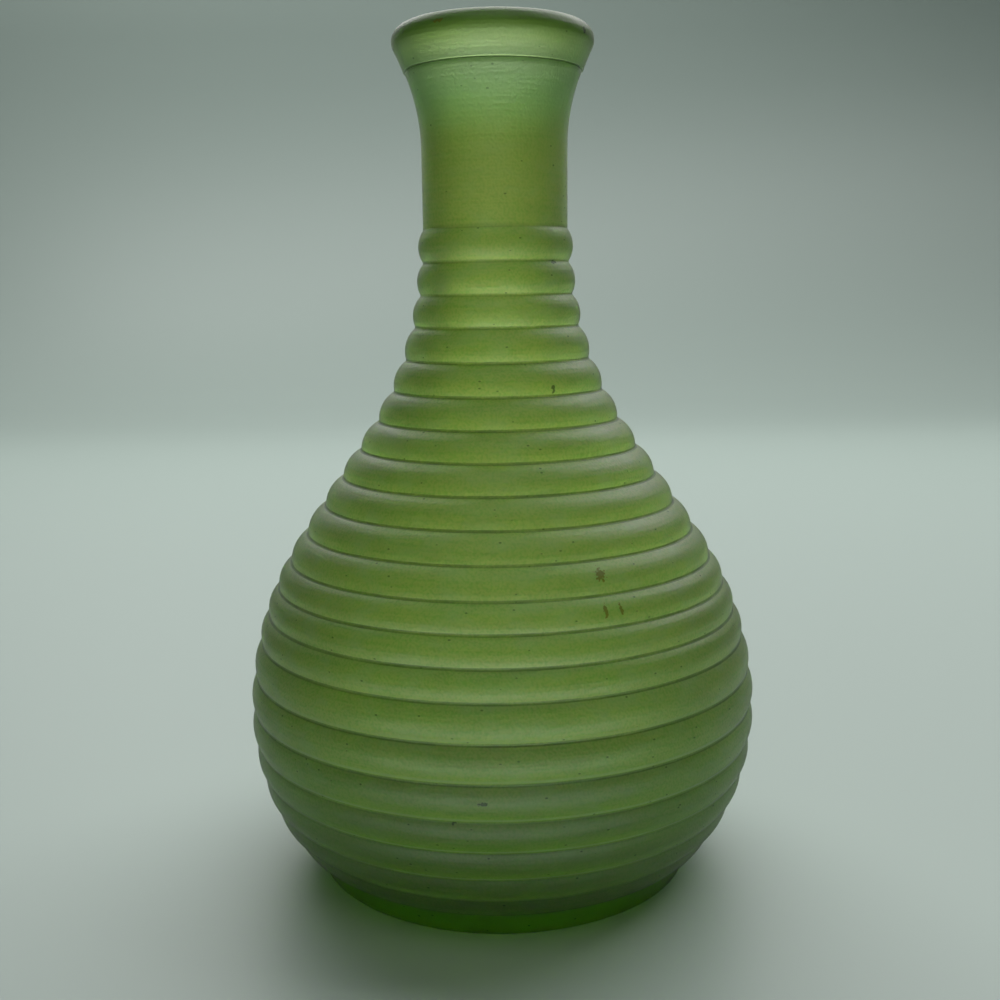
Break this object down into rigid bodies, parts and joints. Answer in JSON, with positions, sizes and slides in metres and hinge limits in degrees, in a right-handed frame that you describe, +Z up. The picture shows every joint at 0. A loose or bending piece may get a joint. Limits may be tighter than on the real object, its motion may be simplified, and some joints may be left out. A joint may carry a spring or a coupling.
{
  "type": "bud vase",
  "caption": "Hollow glass bud vase with a round ribbed belly, a plain straight neck, a flared mouth and a plain foot.",
  "frame": {"origin": "middle of the face that the foot stands on", "axes": "+Z up along the vase's axis, towards the mouth"},
  "size_m": [0.1288, 0.1288, 0.203],
  "materials": {
    "green_glass": "satin"
  },
  "bodies": {
    "root": {"vase_glass": "green_glass"}
  },
  "joints": []
}
